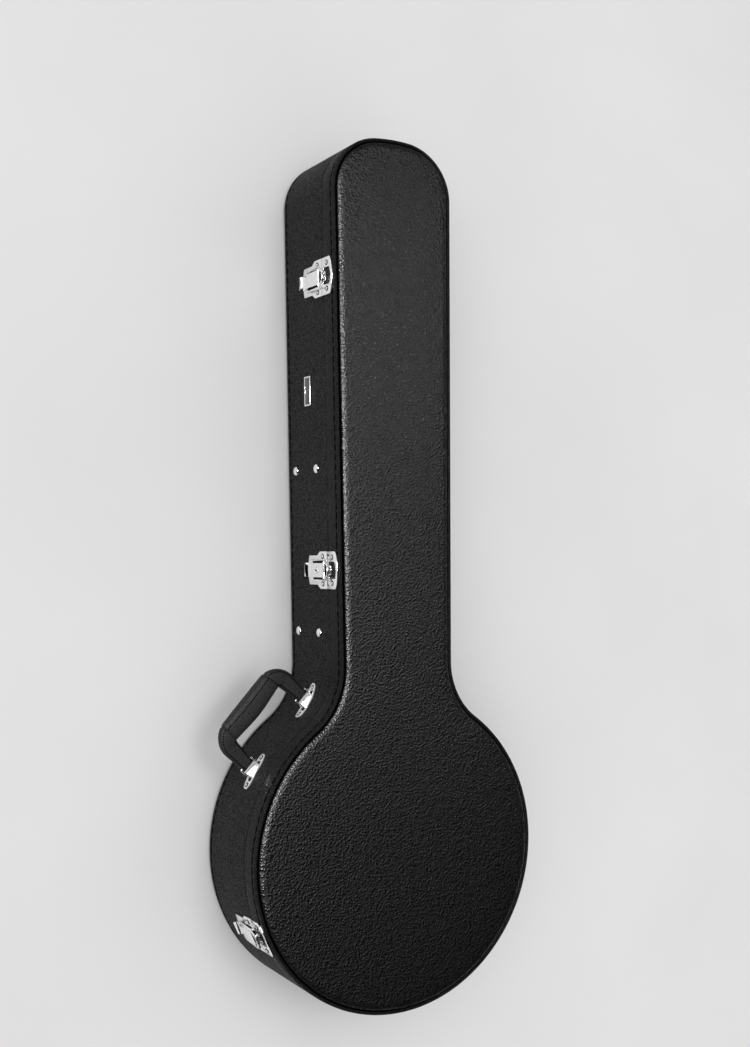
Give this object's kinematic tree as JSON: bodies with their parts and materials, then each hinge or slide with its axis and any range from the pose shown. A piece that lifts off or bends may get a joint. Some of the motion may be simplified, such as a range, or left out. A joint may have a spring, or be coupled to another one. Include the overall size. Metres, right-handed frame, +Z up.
{
  "type": "hard-shell banjo case",
  "caption": "Hard-shell banjo case with a hinged padded lid, toggle latches, a lock, a folding handle and a covered accessory compartment under the neck.",
  "frame": {"origin": "centre of the round bowl, on the flat face that the case lies on", "axes": "+X to the hinge side, +Y along the neck to the head end, +Z up through the lid"},
  "size_m": [0.4014, 1.045, 0.139],
  "materials": {
    "face_vinyl": "black pebbled vinyl over thin foam",
    "side_vinyl": "fine-grained charcoal vinyl",
    "plywood": "bare birch plywood",
    "plush": "short wine-red plush",
    "ribbon": "black woven ribbon",
    "chrome": "bright nickel-chrome plating",
    "steel": "drawn steel",
    "badge_enamel": "dark satin enamel, bare",
    "handle_leather": "black stitched leather"
  },
  "bodies": {
    "base": {"base_bottom_pad": "face_vinyl", "base_panel": "plywood", "base_wall": "plywood", "base_wall_cover": "side_vinyl", "base_floor_lining": "plush", "base_wall_lining": "plush", "base_valance": "plywood", "neck_cradle_lower": "plush", "neck_cradle_upper": "plush", "compartment_ledge": "plywood", "compartment_hinge_rod": "steel", "latch_head_plate": "chrome", "latch_head_pin": "steel", "latch_neck_plate": "chrome", "latch_neck_pin": "steel", "latch_bowl_plate": "chrome", "latch_bowl_pin": "steel", "cradle_stud_1": "chrome", "cradle_stud_2": "chrome", "cradle_stud_3": "chrome", "cradle_stud_4": "chrome", "cradle_stud_5": "chrome", "cradle_stud_6": "chrome", "cradle_stud_7": "chrome", "cradle_stud_8": "chrome", "handle_bracket_upper": "chrome", "handle_bracket_lower": "chrome", "hinge_upper_base_leaf": "chrome", "hinge_lower_base_leaf": "chrome", "hinge_upper_pin": "steel", "hinge_lower_pin": "steel", "badge_frame": "chrome", "badge_inlay": "badge_enamel"},
    "lid": {"lid_top_pad": "face_vinyl", "lid_panel": "plywood", "lid_wall": "plywood", "lid_wall_cover": "side_vinyl", "lid_top_lining": "plush", "lid_wall_lining": "plush", "latch_head_keeper": "chrome", "latch_neck_keeper": "chrome", "latch_bowl_keeper": "chrome", "hinge_upper_lid_leaf": "chrome", "hinge_lower_lid_leaf": "chrome"},
    "lever_head": {"latch_head_lever": "chrome"},
    "lever_neck": {"latch_neck_lever": "chrome"},
    "lever_bowl": {"latch_bowl_lever": "chrome"},
    "bail_head": {"latch_head_bail": "chrome"},
    "bail_neck": {"latch_neck_bail": "chrome"},
    "bail_bowl": {"latch_bowl_bail": "chrome"},
    "lock": {"lock_cylinder": "chrome"},
    "handle": {"handle_grip": "handle_leather", "handle_leg_upper": "handle_leather", "handle_leg_lower": "handle_leather", "handle_core": "steel", "handle_ring_upper": "chrome", "handle_ring_lower": "chrome"},
    "compartment_door": {"compartment_lid": "plush", "compartment_pull": "ribbon"}
  },
  "joints": [
    {"name": "lid_hinge", "type": "hinge", "parent": "base", "child": "lid", "pos_m": [0.1936, 0, 0.107], "axis": [0, 1, 0], "range_deg": [0, 105]},
    {"name": "lever_head_pivot", "type": "hinge", "parent": "base", "child": "lever_head", "pos_m": [-0.08545, 0.68588, 0.1036], "axis": [-0.0098, 1, 0], "range_deg": [0, 105]},
    {"name": "bail_head_pivot", "type": "hinge", "parent": "lever_head", "child": "bail_head", "pos_m": [-0.08485, 0.68588, 0.0736], "axis": [-0.0098, 1, 0], "range_deg": [-109, 0]},
    {"name": "lever_neck_pivot", "type": "hinge", "parent": "base", "child": "lever_neck", "pos_m": [-0.08204, 0.33743, 0.1036], "axis": [-0.0098, 1, 0], "range_deg": [0, 105]},
    {"name": "bail_neck_pivot", "type": "hinge", "parent": "lever_neck", "child": "bail_neck", "pos_m": [-0.08144, 0.33744, 0.0736], "axis": [-0.0098, 1, 0], "range_deg": [-109, 0]},
    {"name": "lever_bowl_pivot", "type": "hinge", "parent": "base", "child": "lever_bowl", "pos_m": [-0.17694, -0.08101, 0.1036], "axis": [-0.4163, 0.9092, 0], "range_deg": [0, 105]},
    {"name": "bail_bowl_pivot", "type": "hinge", "parent": "lever_bowl", "child": "bail_bowl", "pos_m": [-0.17639, -0.08076, 0.0736], "axis": [-0.4163, 0.9092, 0], "range_deg": [-109, 0]},
    {"name": "lock_turn", "type": "hinge", "parent": "lever_neck", "child": "lock", "pos_m": [-0.08204, 0.33743, 0.0877], "axis": [-1, -0.0098, 0], "range_deg": [0, 90]},
    {"name": "handle_fold", "type": "hinge", "parent": "base", "child": "handle", "pos_m": [-0.12801, 0.14403, 0.072], "axis": [-0.6824, -0.731, 0], "range_deg": [-65, 65]},
    {"name": "compartment_door_hinge", "type": "hinge", "parent": "base", "child": "compartment_door", "pos_m": [0.058, 0.36072, 0.0587], "axis": [0, 1, 0], "range_deg": [0, 90]}
  ],
  "couplings": [
    {"joint": "bail_head_pivot", "follows": "lever_head_pivot", "ratio": -1},
    {"joint": "bail_neck_pivot", "follows": "lever_neck_pivot", "ratio": -1},
    {"joint": "bail_bowl_pivot", "follows": "lever_bowl_pivot", "ratio": -1},
    {"joint": "compartment_door_hinge", "follows": "lid_hinge", "ratio": 0.85}
  ]
}
